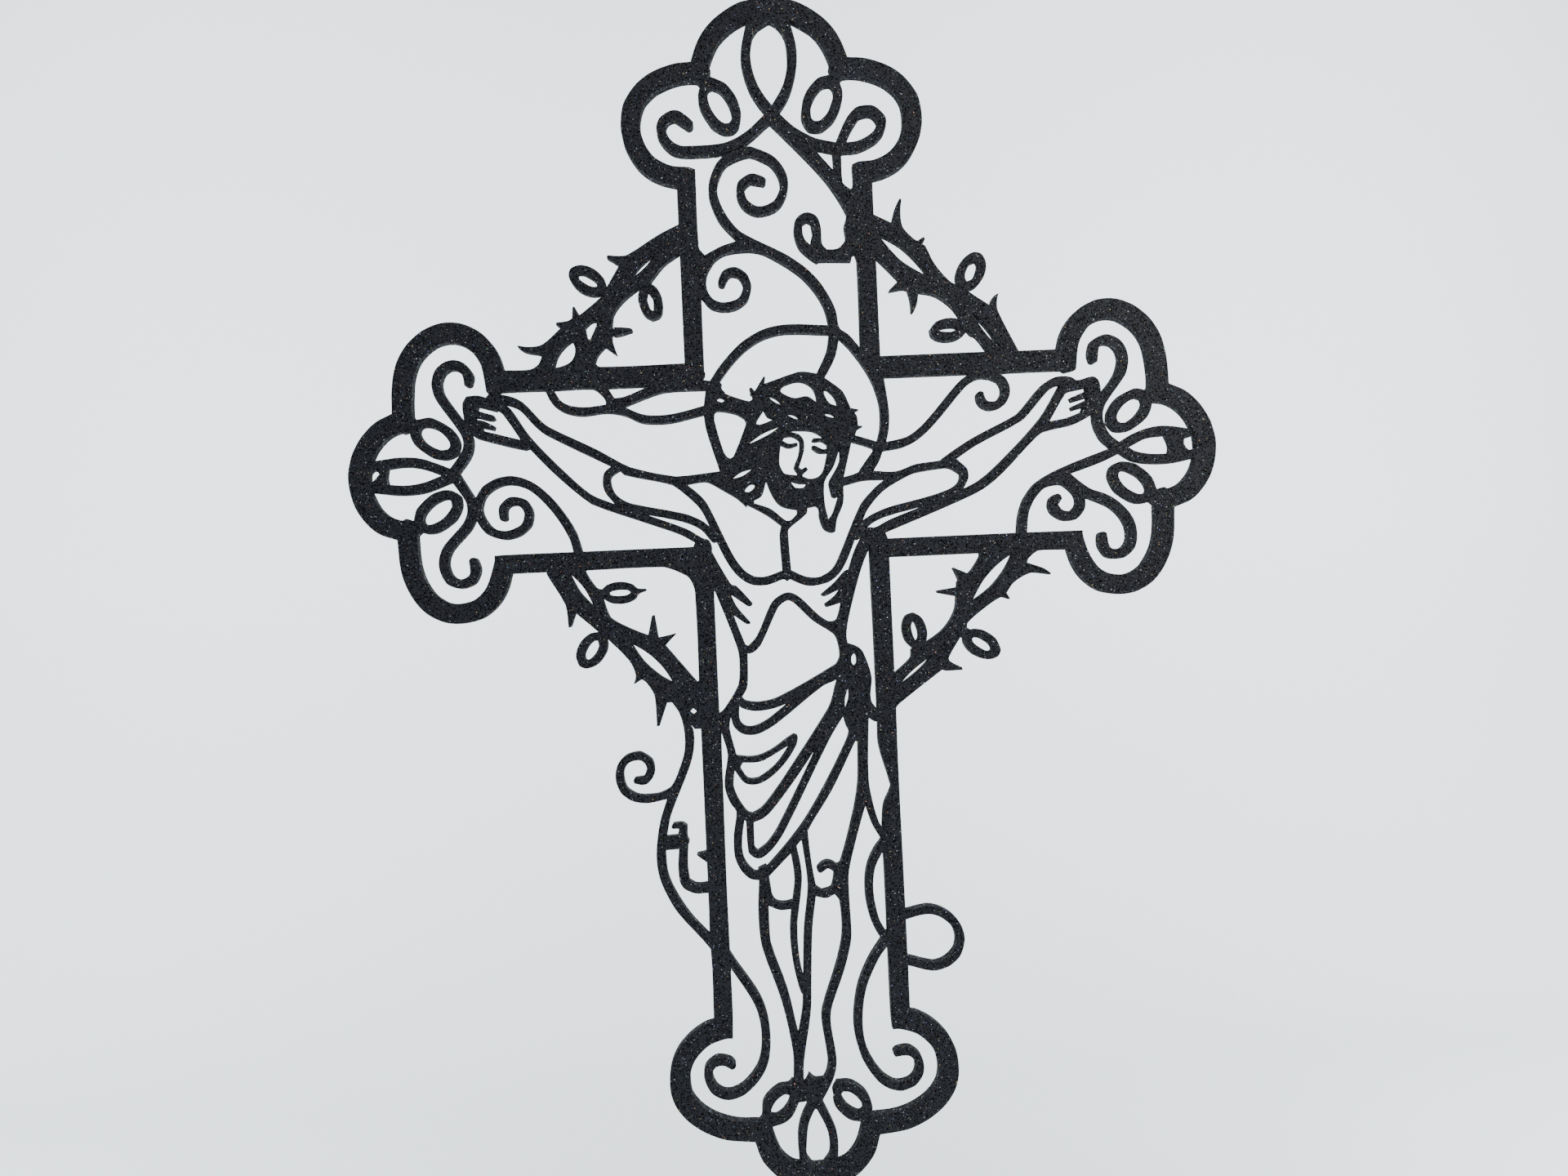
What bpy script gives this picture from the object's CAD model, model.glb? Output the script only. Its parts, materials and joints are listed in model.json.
import json
import math

import bpy
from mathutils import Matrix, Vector

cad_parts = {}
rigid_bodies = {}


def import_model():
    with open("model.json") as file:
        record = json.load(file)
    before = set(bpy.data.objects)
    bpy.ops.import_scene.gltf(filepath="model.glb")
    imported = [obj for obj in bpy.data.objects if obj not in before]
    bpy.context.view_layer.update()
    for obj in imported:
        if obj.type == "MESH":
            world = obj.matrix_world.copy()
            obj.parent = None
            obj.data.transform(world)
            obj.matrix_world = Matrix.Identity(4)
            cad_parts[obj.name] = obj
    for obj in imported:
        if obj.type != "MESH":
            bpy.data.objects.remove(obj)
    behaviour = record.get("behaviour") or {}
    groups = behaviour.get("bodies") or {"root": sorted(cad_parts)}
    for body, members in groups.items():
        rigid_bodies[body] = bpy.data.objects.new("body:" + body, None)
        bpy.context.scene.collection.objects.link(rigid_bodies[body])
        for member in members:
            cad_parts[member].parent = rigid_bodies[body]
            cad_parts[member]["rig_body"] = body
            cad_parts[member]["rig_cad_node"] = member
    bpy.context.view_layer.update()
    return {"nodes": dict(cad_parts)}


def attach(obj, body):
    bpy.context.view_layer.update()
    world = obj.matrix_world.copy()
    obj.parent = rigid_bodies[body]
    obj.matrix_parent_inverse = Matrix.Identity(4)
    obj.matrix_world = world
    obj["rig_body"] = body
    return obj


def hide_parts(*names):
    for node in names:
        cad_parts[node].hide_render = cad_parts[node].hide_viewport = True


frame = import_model()
print("frame loaded")


def selectOnly(piece):
    bpy.ops.object.select_all(action="DESELECT")
    piece.select_set(True)
    bpy.context.view_layer.objects.active = piece


def applyPlace(piece):  # puts the object at the origin with its place in its mesh
    selectOnly(piece)
    bpy.ops.object.transform_apply(location=True, rotation=True, scale=True)


def clearSelection(kind):  # kind is FACE or EDGE, whichever is selected next
    bpy.ops.object.mode_set(mode="EDIT")
    bpy.ops.mesh.select_mode(type=kind)
    bpy.ops.mesh.select_all(action="DESELECT")
    bpy.ops.object.mode_set(mode="OBJECT")


# The wall crucifix: one flat openwork plate, redrawn with smooth outlines and eased edges
plate = {
    "node": "crucifix_plate",
    "thickness": 0.003,
    "easedEdge": 0.00012,  # rounding of the front and back edges
    "easedSteps": 2,
    "longestInset": 3,  # at a sharp tip, in lengths of the rounding
    "leastSpread": 0.1,  # keeps the way into a very sharp tip from growing without end
    "fitRounds": 14,
    "fitShare": 0.6,  # what each round leaves of an inset that folds the face over
    "sliver": 2e-11,  # square metres; a thinner triangle says nothing about folding
    "nearness": 1e-6,  # nearer points are merged, and nearer heights count as one level
    "frontTurn": 0.99,  # a normal's share towards the front, above which a face is the front
    "wallTurn": 0.5,  # a normal's share towards front or back, below which a face is a wall
    "cornerTurn": 50,  # a turn over this many degrees stays a corner
    "bulge": 0.0002,  # how far a smoothed side may leave its chord
    "stepsPerSide": 4,
    "smoothAngle": 21,
}


def frontOutline(node):  # the outline of the flat front, as a curve lying in XY
    selectOnly(frame["nodes"][node])
    bpy.ops.object.duplicate()
    outline = bpy.context.object
    bpy.ops.object.parent_clear(type="CLEAR_KEEP_TRANSFORM")
    for mark in ("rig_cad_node", "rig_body"):  # the copy is no CAD node
        del outline[mark]
    outline.rotation_mode = "XYZ"
    outline.rotation_euler = (-math.pi / 2, 0, 0)
    applyPlace(outline)
    bpy.ops.object.mode_set(mode="EDIT")
    bpy.ops.mesh.select_all(action="SELECT")
    bpy.ops.mesh.remove_doubles(threshold=plate["nearness"])
    clearSelection("FACE")
    for face in outline.data.polygons:
        face.select = face.normal.z > plate["frontTurn"]
    bpy.ops.object.mode_set(mode="EDIT")
    bpy.ops.mesh.region_to_loop()
    bpy.ops.mesh.select_all(action="INVERT")
    bpy.ops.mesh.delete(type="EDGE")
    bpy.ops.mesh.select_all(action="SELECT")
    bpy.ops.transform.translate(value=(0, 0, -plate["thickness"]))
    bpy.ops.object.mode_set(mode="OBJECT")
    outline.data.materials.clear()
    bpy.ops.object.convert(target="CURVE")
    outline = bpy.context.object
    bpy.ops.object.mode_set(mode="EDIT")
    bpy.ops.curve.select_all(action="SELECT")
    bpy.ops.curve.spline_type_set(type="BEZIER")
    bpy.ops.curve.handle_type_set(type="VECTOR")
    bpy.ops.object.mode_set(mode="OBJECT")
    return outline


def turnedTo(chord, tangent, most):  # the tangent, turned back to within an angle of the chord
    angle = chord.angle_signed(tangent, 0)
    kept = max(-most, min(most, angle))
    cosine, sine = math.cos(-kept), math.sin(-kept)
    return Vector((chord.x * cosine - chord.y * sine, chord.x * sine + chord.y * cosine))


def smoothSides(outline):  # handles along the curve, except at real corners
    cornerTurn = math.radians(plate["cornerTurn"])
    for spline in outline.data.splines:
        points = spline.bezier_points
        places = [point.co.xy.copy() for point in points]
        count = len(points)
        for index, point in enumerate(points):
            before = places[index] - places[index - 1]
            after = places[(index + 1) % count] - places[index]
            if before.angle(after, 0) > cornerTurn:
                continue
            tangent = (before + after).normalized()
            point.handle_left_type = point.handle_right_type = "FREE"
            for chord, side in ((before, -1), (after, 1)):
                length = chord.length
                # a side whose handles are a third of it rises by a quarter of its length x sine
                most = math.asin(min(1, 4 * plate["bulge"] / length))
                handle = turnedTo(chord.normalized(), tangent, most) * (length / 3 * side)
                spot = places[index] + handle
                if side < 0:
                    point.handle_left = (spot.x, spot.y, 0)
                else:
                    point.handle_right = (spot.x, spot.y, 0)


def atLevel(mesh, index, level):
    return abs(mesh.vertices[index].co.z - level) < plate["nearness"]


def rimPoints(mesh, level):  # each point of a flat face's rim, with the way into the plate
    walls = {}
    for face in mesh.polygons:
        if abs(face.normal.z) < plate["wallTurn"]:
            for index in face.vertices:
                if atLevel(mesh, index, level):
                    walls.setdefault(index, []).append(face.normal.xy.normalized())
    rim = {}
    for index, normals in walls.items():
        spread = max(plate["leastSpread"], 1 + normals[0].dot(normals[-1]))
        inward = -(normals[0] + normals[-1]) / spread
        longest = min(inward.length, plate["longestInset"])
        rim[index] = inward.normalized() * longest * plate["easedEdge"]
    return rim


def fitRim(mesh, rim, faces):  # shortens the insets that would fold the flat face over
    places = {index: mesh.vertices[index].co.xy.copy() for index in rim}
    for fitRound in range(plate["fitRounds"]):
        folded = set()
        for corners in faces:
            a, b, c = (places[index] for index in corners)
            d, e, f = (places[index] + rim[index] for index in corners)
            before, after = (b - a).cross(c - a), (e - d).cross(f - d)
            if abs(before) > plate["sliver"] and before * after <= 0:
                folded.update(corners)
        for index in folded:
            rim[index] = rim[index] * plate["fitShare"]
        if not folded:
            break
    return places  # where the rim's points stood


def easeRim(mesh, side):  # rounds one rim; side is 1 for the front and -1 for the back
    level = side * plate["thickness"] / 2
    rim = rimPoints(mesh, level)
    flat = [
        face.index
        for face in mesh.polygons
        if all(atLevel(mesh, index, level) for index in face.vertices)
    ]
    places = fitRim(mesh, rim, [tuple(mesh.polygons[index].vertices) for index in flat])
    mark = mesh.attributes.new("rimNumber", "INT", "POINT")
    for index in rim:
        mark.data[index].value = index
        mesh.vertices[index].co.z = level - side * plate["easedEdge"]
    clearSelection("FACE")
    for index in flat:
        mesh.polygons[index].select = True
    for step in range(1, plate["easedSteps"] + 1):
        angle = math.pi / 2 * step / plate["easedSteps"]
        bpy.ops.object.mode_set(mode="EDIT")
        bpy.ops.mesh.extrude_region_move(TRANSFORM_OT_translate={"value": (0, 0, 0)})
        bpy.ops.object.mode_set(mode="OBJECT")
        numbers = mesh.attributes["rimNumber"].data
        for vertex in mesh.vertices:
            if vertex.select:
                index = numbers[vertex.index].value
                spot = places[index] + rim[index] * (1 - math.cos(angle))
                height = level - side * plate["easedEdge"] * (1 - math.sin(angle))
                vertex.co = (spot.x, spot.y, height)
    mesh.attributes.remove(mesh.attributes["rimNumber"])


def makePlate():
    outline = frontOutline(plate["node"])
    smoothSides(outline)
    shape = outline.data
    shape.dimensions = "2D"
    shape.fill_mode = "BOTH"
    shape.resolution_u = plate["stepsPerSide"]
    shape.extrude = plate["thickness"] / 2
    selectOnly(outline)
    bpy.ops.object.convert(target="MESH")
    piece = bpy.context.object
    bpy.ops.object.mode_set(mode="EDIT")
    bpy.ops.mesh.select_all(action="SELECT")
    bpy.ops.mesh.remove_doubles(threshold=plate["nearness"])
    bpy.ops.mesh.dissolve_degenerate(threshold=plate["nearness"])
    bpy.ops.mesh.quads_convert_to_tris()
    bpy.ops.mesh.normals_make_consistent(inside=False)
    bpy.ops.object.mode_set(mode="OBJECT")
    easeRim(piece.data, 1)
    easeRim(piece.data, -1)
    piece.rotation_euler = (math.pi / 2, 0, 0)
    piece.location = (0, -plate["thickness"] / 2, 0)
    applyPlace(piece)
    bpy.ops.object.shade_smooth_by_angle(angle=math.radians(plate["smoothAngle"]))
    piece.name = "openworkPlate"
    return piece


def markEdges(piece):  # 1 on the walls and the rounded rims, 0 on the flat faces
    halfway = plate["thickness"] / 2
    wear = piece.data.attributes.new("edge", "FLOAT", "POINT")
    for vertex in piece.data.vertices:
        flat = abs(abs(vertex.co.y + halfway) - halfway) < plate["nearness"]
        wear.data[vertex.index].value = 0 if flat else 1


openwork = makePlate()
markEdges(openwork)
print("plate:", len(openwork.data.polygons), "faces")
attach(openwork, "root")
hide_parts(plate["node"])

# The pale floor, swept up behind as a backdrop
floor = {
    "width": 6,
    "near": -2.5,
    "far": 0.95,
    "level": -0.42,
    "height": 2.4,
    "sweep": 0.35,
    "sweepSteps": 16,
    "reach": 0.01,  # how near the far line or the floor an edge counts as on it
    "colour": (0.83, 0.86, 0.88, 1),
    "roughness": 0.9,
    "gloss": 0.2,
}


def selectEdges(sheet, wanted):  # the edges whose two ends are both wanted
    for edge in sheet.data.edges:
        edge.select = all(wanted(sheet.data.vertices[end].co) for end in edge.vertices)


def makeFloor():
    middle = (floor["near"] + floor["far"]) / 2
    farLine = floor["far"] - floor["reach"]
    bpy.ops.object.select_all(action="DESELECT")
    bpy.ops.mesh.primitive_plane_add(size=1, location=(0, middle, floor["level"]))
    sheet = bpy.context.object
    sheet.scale = (floor["width"], floor["far"] - floor["near"], 1)
    applyPlace(sheet)
    clearSelection("EDGE")
    selectEdges(sheet, lambda spot: spot.y > farLine)
    bpy.ops.object.mode_set(mode="EDIT")
    bpy.ops.mesh.extrude_region_move(TRANSFORM_OT_translate={"value": (0, 0, floor["height"])})
    clearSelection("EDGE")
    selectEdges(sheet, lambda spot: spot.y > farLine and spot.z < floor["level"] + floor["reach"])
    bpy.ops.object.mode_set(mode="EDIT")
    bpy.ops.mesh.bevel(offset=floor["sweep"], segments=floor["sweepSteps"], affect="EDGES")
    bpy.ops.object.mode_set(mode="OBJECT")
    bpy.ops.object.shade_smooth()
    sheet.name = "paleFloor"
    return sheet


paleFloor = makeFloor()
print("floor ready")


def newMaterial(name):
    material = bpy.data.materials.new(name)
    material.use_nodes = True
    return material, material.node_tree.nodes["Principled BSDF"]


def floorPaint():
    material, surface = newMaterial("palePaint")
    surface.inputs["Base Color"].default_value = floor["colour"]
    surface.inputs["Roughness"].default_value = floor["roughness"]
    surface.inputs["Specular IOR Level"].default_value = floor["gloss"]
    return material


paleFloor.data.materials.append(floorPaint())

# Near-black plastic filled with fine glitter, on the front, the walls and the back
plastic = {
    "body": (0.0058, 0.0066, 0.0112, 1),
    "bodyWorn": (0.011, 0.0115, 0.014, 1),
    "fineFlakes": {"Scale": 2900, "Size": 0.42, "Share": 0.8, "Tilt": 0.9},
    "bigFlakes": {"Scale": 1600, "Size": 0.24, "Share": 0.5, "Tilt": 0.8},
    "fineGlow": 0.5,  # how much the fine flakes shine
    "glowPower": 5,  # a higher power leaves fewer bright flakes among the dull ones
    "flakeColours": (
        (0.0, (0.74, 0.78, 0.84, 1)),  # silver
        (0.68, (0.85, 0.64, 0.3, 1)),  # gold
        (0.8, (0.34, 0.7, 0.46, 1)),  # green
        (0.88, (0.36, 0.46, 0.95, 1)),  # blue
        (0.96, (0.9, 0.42, 0.24, 1)),  # copper
    ),
    "grain": {"Scale": 2600, "Detail": 3},
    "grainRoughness": 0.6,
    "patches": {"scale": 90, "detail": 3, "roughness": 0.55},  # broad changes of gloss
    "patchTones": (0.3, 0.7),  # spread over the whole range of roughness
    "wear": {"Scale": 900},
    "wearDetail": 4,
    "wearTones": (0.5, 0.66),  # unworn below the first, worn through above the second
    "bumpHeight": 0.0001,
    "flatTurn": 0.2,  # a face turned further than this to the front or back counts as flat
}
surfaces = {
    "glitterPlasticFront": {
        "grain": 0.22, "roughness": (0.4, 0.56), "specular": 0.32, "lines": None,
    },
    "glitterPlasticWalls": {
        "grain": 0.12, "roughness": (0.74, 0.86), "specular": 0.06,
        "lines": 0.3, "pitch": 0.0002, "axis": (0, 1, 0),
    },
    "glitterPlasticBack": {
        "grain": 0.12, "roughness": (0.44, 0.6), "specular": 0.3,
        "lines": 0.26, "pitch": 0.00042, "axis": (0.7071, 0, 0.7071),
    },
}


def newGroup(name, inputs, outputs):  # the group, what it is given and what it puts out
    group = bpy.data.node_groups.new(name, "ShaderNodeTree")
    kinds = {"number": "NodeSocketFloat", "colour": "NodeSocketColor", "vector": "NodeSocketVector"}
    for side, sockets in (("INPUT", inputs), ("OUTPUT", outputs)):
        for socket, kind in sockets.items():
            group.interface.new_socket(socket, in_out=side, socket_type=kinds[kind])
    given, out = group.nodes.new("NodeGroupInput"), group.nodes.new("NodeGroupOutput")
    return group, given.outputs, out.inputs


def feed(tree, socket, value):  # links another node's result, or sets a plain value
    if isinstance(value, bpy.types.NodeSocket):
        tree.links.new(value, socket)
    else:
        socket.default_value = value


def addNode(tree, kind, **settings):  # a node, its settings by name and its inputs by number
    node = tree.nodes.new("ShaderNode" + kind)
    for name, value in settings.items():
        if name.startswith("input"):
            feed(tree, node.inputs[int(name[len("input"):])], value)
        else:
            setattr(node, name, value)
    return node


def maths(tree, operation, *values):
    node = addNode(tree, "Math", operation=operation)
    for socket, value in zip(node.inputs, values):
        feed(tree, socket, value)
    return node.outputs[0]


def scaled(tree, vector, factor):
    node = addNode(tree, "VectorMath", operation="SCALE", input0=vector, input3=factor)
    return node.outputs[0]


def glitterFlakes():  # flat flakes, each with its own colour, brightness and tilt
    group, given, out = newGroup(
        "glitterFlakes",
        {"Place": "vector", "Scale": "number", "Size": "number", "Share": "number", "Tilt": "number"},
        {"Mask": "number", "Colour": "colour", "Normal": "vector"},
    )
    cells = addNode(group, "TexVoronoi", input0=given["Place"], input2=given["Scale"])
    inside = maths(group, "LESS_THAN", cells.outputs["Distance"], given["Size"])
    chance = addNode(group, "SeparateColor", input0=cells.outputs["Color"])
    chosen = maths(group, "LESS_THAN", chance.outputs[0], given["Share"])
    mask = maths(group, "MULTIPLY", inside, chosen)
    tint = addNode(group, "ValToRGB", input0=chance.outputs[2])
    ramp = tint.color_ramp
    ramp.interpolation = "CONSTANT"
    colours = plastic["flakeColours"]
    for stop, colour in colours[2:]:  # a new ramp has two stops already
        ramp.elements.new(stop)
    for element, (stop, colour) in zip(ramp.elements, colours):
        element.position, element.color = stop, colour
    glow = maths(group, "POWER", chance.outputs[1], plastic["glowPower"])
    lit = scaled(group, tint.outputs[0], glow)
    random = addNode(
        group, "TexWhiteNoise", noise_dimensions="3D", input0=cells.outputs["Position"]
    )
    middle = addNode(
        group, "VectorMath", operation="SUBTRACT",
        input0=random.outputs["Color"], input1=(0.5, 0.5, 0.5),
    )
    lean = scaled(group, middle.outputs[0], given["Tilt"])
    skin = addNode(group, "NewGeometry")
    turned = addNode(
        group, "VectorMath", operation="ADD", input0=skin.outputs["Normal"], input1=lean
    )
    straight = addNode(group, "VectorMath", operation="NORMALIZE", input0=turned.outputs[0])
    group.links.new(mask, out["Mask"])
    group.links.new(lit, out["Colour"])
    group.links.new(straight.outputs[0], out["Normal"])
    return group


def mouldGrain():  # the fine grain of the plastic's skin, and broad patches of gloss
    group, given, out = newGroup(
        "mouldGrain",
        {"Place": "vector", "Scale": "number", "Detail": "number"},
        {"Height": "number", "Tone": "number"},
    )
    grain = addNode(
        group, "TexNoise", input0=given["Place"], input2=given["Scale"],
        input3=given["Detail"], input4=plastic["grainRoughness"],
    )
    broad = plastic["patches"]
    patches = addNode(
        group, "TexNoise", input0=given["Place"], input2=broad["scale"],
        input3=broad["detail"], input4=broad["roughness"],
    )
    group.links.new(grain.outputs[0], out["Height"])
    group.links.new(patches.outputs[0], out["Tone"])
    return group


def printLines():  # the beads of the print, side by side along one direction
    group, given, out = newGroup(
        "printLines", {"Along": "number", "Pitch": "number"}, {"Height": "number"}
    )
    turns = maths(group, "DIVIDE", given["Along"], given["Pitch"])
    part = maths(group, "FRACT", turns)
    centred = maths(group, "SUBTRACT", part, 0.5)
    squared = maths(group, "MULTIPLY", centred, centred)
    bead = maths(group, "MULTIPLY_ADD", squared, -4, 1)  # 0 at the seams and 1 between them
    group.links.new(bead, out["Height"])
    return group


def edgeWear():  # rubbed spots along the marked edges
    group, given, out = newGroup(
        "edgeWear", {"Edge": "number", "Place": "vector", "Scale": "number"}, {"Mask": "number"}
    )
    spots = addNode(
        group, "TexNoise", input0=given["Place"], input2=given["Scale"],
        input3=plastic["wearDetail"],
    )
    unworn, worn = plastic["wearTones"]
    sharp = addNode(group, "MapRange", input0=spots.outputs[0], input1=unworn, input2=worn)
    mask = maths(group, "MULTIPLY", given["Edge"], sharp.outputs[0])
    group.links.new(mask, out["Mask"])
    return group


groups = {
    "flakes": glitterFlakes(),
    "grain": mouldGrain(),
    "lines": printLines(),
    "wear": edgeWear(),
}
print("shader groups ready")


def useGroup(tree, name, values, **links):
    node = tree.nodes.new("ShaderNodeGroup")
    node.node_tree = groups[name]
    for socket, value in {**values, **links}.items():
        feed(tree, node.inputs[socket], value)
    return node


def mixed(tree, share, first, second, kind="RGBA"):  # first where share is 0, second where it is 1
    node = tree.nodes.new("ShaderNodeMix")
    node.data_type = kind
    low, high, result = {"VECTOR": (4, 5, 1), "RGBA": (6, 7, 2)}[kind]  # the kind's own sockets
    for number, value in ((0, share), (low, first), (high, second)):
        feed(tree, node.inputs[number], value)
    return node.outputs[result]


def glitterPlastic(name, look):
    material, surface = newMaterial(name)
    tree = material.node_tree
    spot = addNode(tree, "TexCoord").outputs["Object"]
    fine = useGroup(tree, "flakes", plastic["fineFlakes"], Place=spot).outputs
    big = useGroup(tree, "flakes", plastic["bigFlakes"], Place=spot).outputs
    grain = useGroup(tree, "grain", plastic["grain"], Place=spot).outputs
    edge = addNode(tree, "Attribute", attribute_name="edge").outputs["Fac"]
    wear = useGroup(tree, "wear", plastic["wear"], Place=spot, Edge=edge).outputs
    colour = mixed(tree, wear["Mask"], plastic["body"], plastic["bodyWorn"])
    colour = mixed(tree, fine["Mask"], colour, scaled(tree, fine["Colour"], plastic["fineGlow"]))
    colour = mixed(tree, big["Mask"], colour, big["Colour"])
    tree.links.new(colour, surface.inputs["Base Color"])
    metal = maths(tree, "MAXIMUM", fine["Mask"], big["Mask"])
    tree.links.new(metal, surface.inputs["Metallic"])
    lowTone, highTone = plastic["patchTones"]
    smoothest, roughest = look["roughness"]
    rough = addNode(
        tree, "MapRange", input0=grain["Tone"], input1=lowTone, input2=highTone,
        input3=smoothest, input4=roughest,
    )
    tree.links.new(rough.outputs[0], surface.inputs["Roughness"])
    surface.inputs["Specular IOR Level"].default_value = look["specular"]
    bumps = addNode(
        tree, "Bump", input0=look["grain"], input1=plastic["bumpHeight"], input3=grain["Height"]
    )
    if look["lines"]:
        along = addNode(
            tree, "VectorMath", operation="DOT_PRODUCT", input0=spot, input1=look["axis"]
        )
        beads = useGroup(tree, "lines", {"Pitch": look["pitch"]}, Along=along.outputs["Value"])
        bumps = addNode(
            tree, "Bump", input0=look["lines"], input1=plastic["bumpHeight"],
            input3=beads.outputs["Height"], input4=bumps.outputs[0],
        )
    normal = mixed(tree, fine["Mask"], bumps.outputs[0], fine["Normal"], "VECTOR")
    normal = mixed(tree, big["Mask"], normal, big["Normal"], "VECTOR")
    tree.links.new(normal, surface.inputs["Normal"])
    return material


openwork.data.materials.clear()
for name, look in surfaces.items():
    openwork.data.materials.append(glitterPlastic(name, look))
frontSlot, wallSlot, backSlot = range(len(surfaces))
for face in openwork.data.polygons:
    if face.normal.y < -plastic["flatTurn"]:
        face.material_index = frontSlot
    elif face.normal.y > plastic["flatTurn"]:
        face.material_index = backSlot
    else:
        face.material_index = wallSlot
print("plastic ready")

# Soft studio light
room = {"colour": (0.86, 0.9, 0.95, 1), "strength": 0.8}
softBoxes = {
    "windowSoftBox": {
        "place": (0.75, -0.75, 0.35), "aim": (0, 0, -0.12), "size": (0.7, 0.7),
        "power": 9, "colour": (1, 0.98, 0.95),
    },
    "leftBackdropSoftBox": {  # the two at the sides face away from the plate
        "place": (-0.6, 0.2, -0.1), "aim": (-0.4, 0.95, -0.1), "size": (0.5, 1.6),
        "power": 19, "colour": (0.94, 0.985, 1),
    },
    "rightBackdropSoftBox": {
        "place": (0.6, 0.2, -0.1), "aim": (0.4, 0.95, -0.1), "size": (0.5, 1.6),
        "power": 19, "colour": (0.94, 0.985, 1),
    },
}


def lightRoom():
    world = bpy.data.worlds.new("softRoom")
    world.use_nodes = True
    background = world.node_tree.nodes["Background"]
    background.inputs["Color"].default_value = room["colour"]
    background.inputs["Strength"].default_value = room["strength"]
    bpy.context.scene.world = world


def addSoftBox(name, box):
    bpy.ops.object.light_add(type="AREA", location=box["place"])
    lamp = bpy.context.object
    lamp.name = name
    lamp.data.shape = "RECTANGLE"
    lamp.data.size, lamp.data.size_y = box["size"]
    lamp.data.energy = box["power"]
    lamp.data.color = box["colour"]
    towards = Vector(box["aim"]) - Vector(box["place"])
    lamp.rotation_euler = towards.to_track_quat("-Z", "Y").to_euler()
    lamp.visible_camera = False


lightRoom()
for name, box in softBoxes.items():
    addSoftBox(name, box)
print("lights ready")

# The camera stands where the photograph was taken from
shot = {
    "place": (-0.01442, -0.31149, -0.12507),
    "turn": (90.698, 2.583, -2.294),
    "lens": 33.75,
    "sensor": 36,
    "nearest": 0.01,
}
bpy.ops.object.camera_add(
    location=shot["place"], rotation=[math.radians(angle) for angle in shot["turn"]]
)
camera = bpy.context.object
camera.name = "photoCamera"
camera.data.sensor_width = shot["sensor"]
camera.data.lens = shot["lens"]
camera.data.clip_start = shot["nearest"]
bpy.context.scene.camera = camera
print("camera ready")
